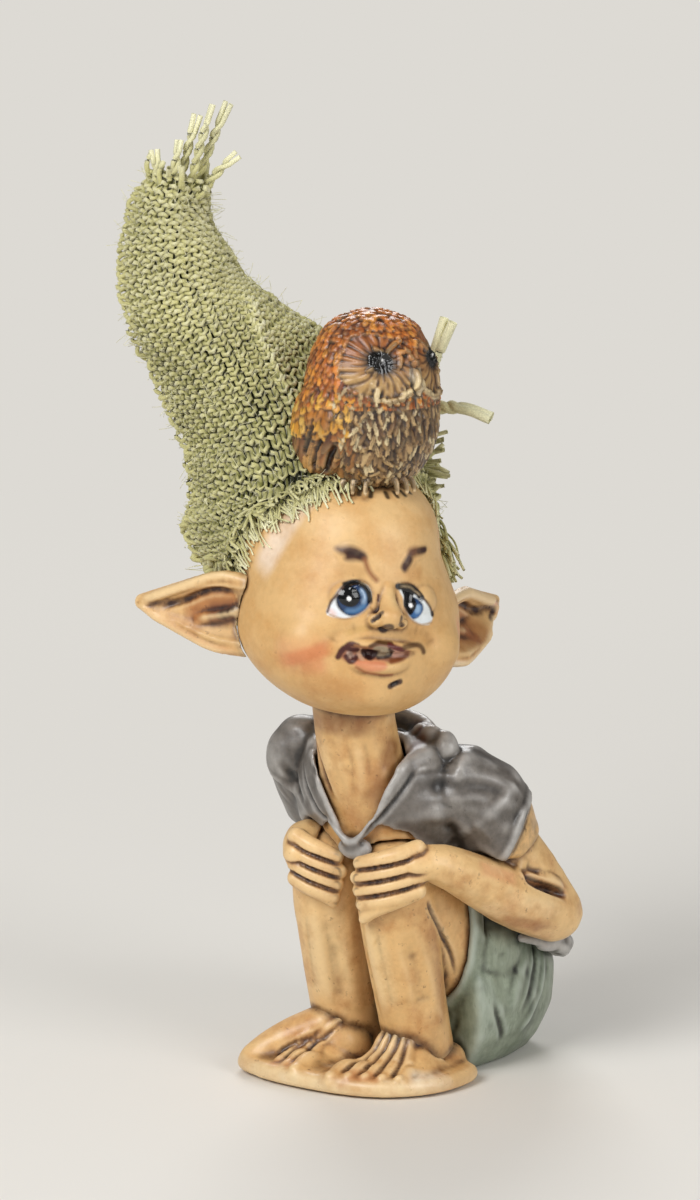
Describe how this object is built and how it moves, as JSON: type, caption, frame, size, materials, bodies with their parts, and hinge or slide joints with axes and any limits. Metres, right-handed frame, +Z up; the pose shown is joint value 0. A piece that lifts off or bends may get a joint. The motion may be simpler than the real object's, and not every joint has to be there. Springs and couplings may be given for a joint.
{
  "type": "pixie figurine",
  "caption": "Seated pixie ornament of painted cast resin, hugging its knees, with pointed ears, an owl on its brow and a tall knitted hat.",
  "frame": {"origin": "on the table plane, midway between the ankles, on the underside of the feet plate", "axes": "+Z up, -Y the way the knees point, +X to the pixie's own left"},
  "size_m": [0.0502, 0.0525, 0.1262],
  "materials": {
    "skin_paint": "cast resin painted ochre cream with a brown wash in the creases and a gloss varnish",
    "trouser_paint": "cast resin painted pale grey green with darker streaks and a satin varnish",
    "shirt_paint": "cast resin painted grey with a pale dry brush and a gloss varnish",
    "owl_paint": "cast resin painted rust brown and cream with a dark wash between the feathers",
    "wool": "sage green yarn, knitted, reverse side out"
  },
  "bodies": {
    "root": {"feet_plate": "skin_paint", "left_leg": "skin_paint", "right_leg": "skin_paint", "trousers": "trouser_paint", "shirt": "shirt_paint", "left_arm": "skin_paint", "right_arm": "skin_paint", "neck": "skin_paint", "head": "skin_paint", "left_ear": "skin_paint", "right_ear": "skin_paint", "owl": "owl_paint", "hat": "wool", "upper_yarn_tail": "wool", "lower_yarn_tail": "wool"}
  },
  "joints": []
}
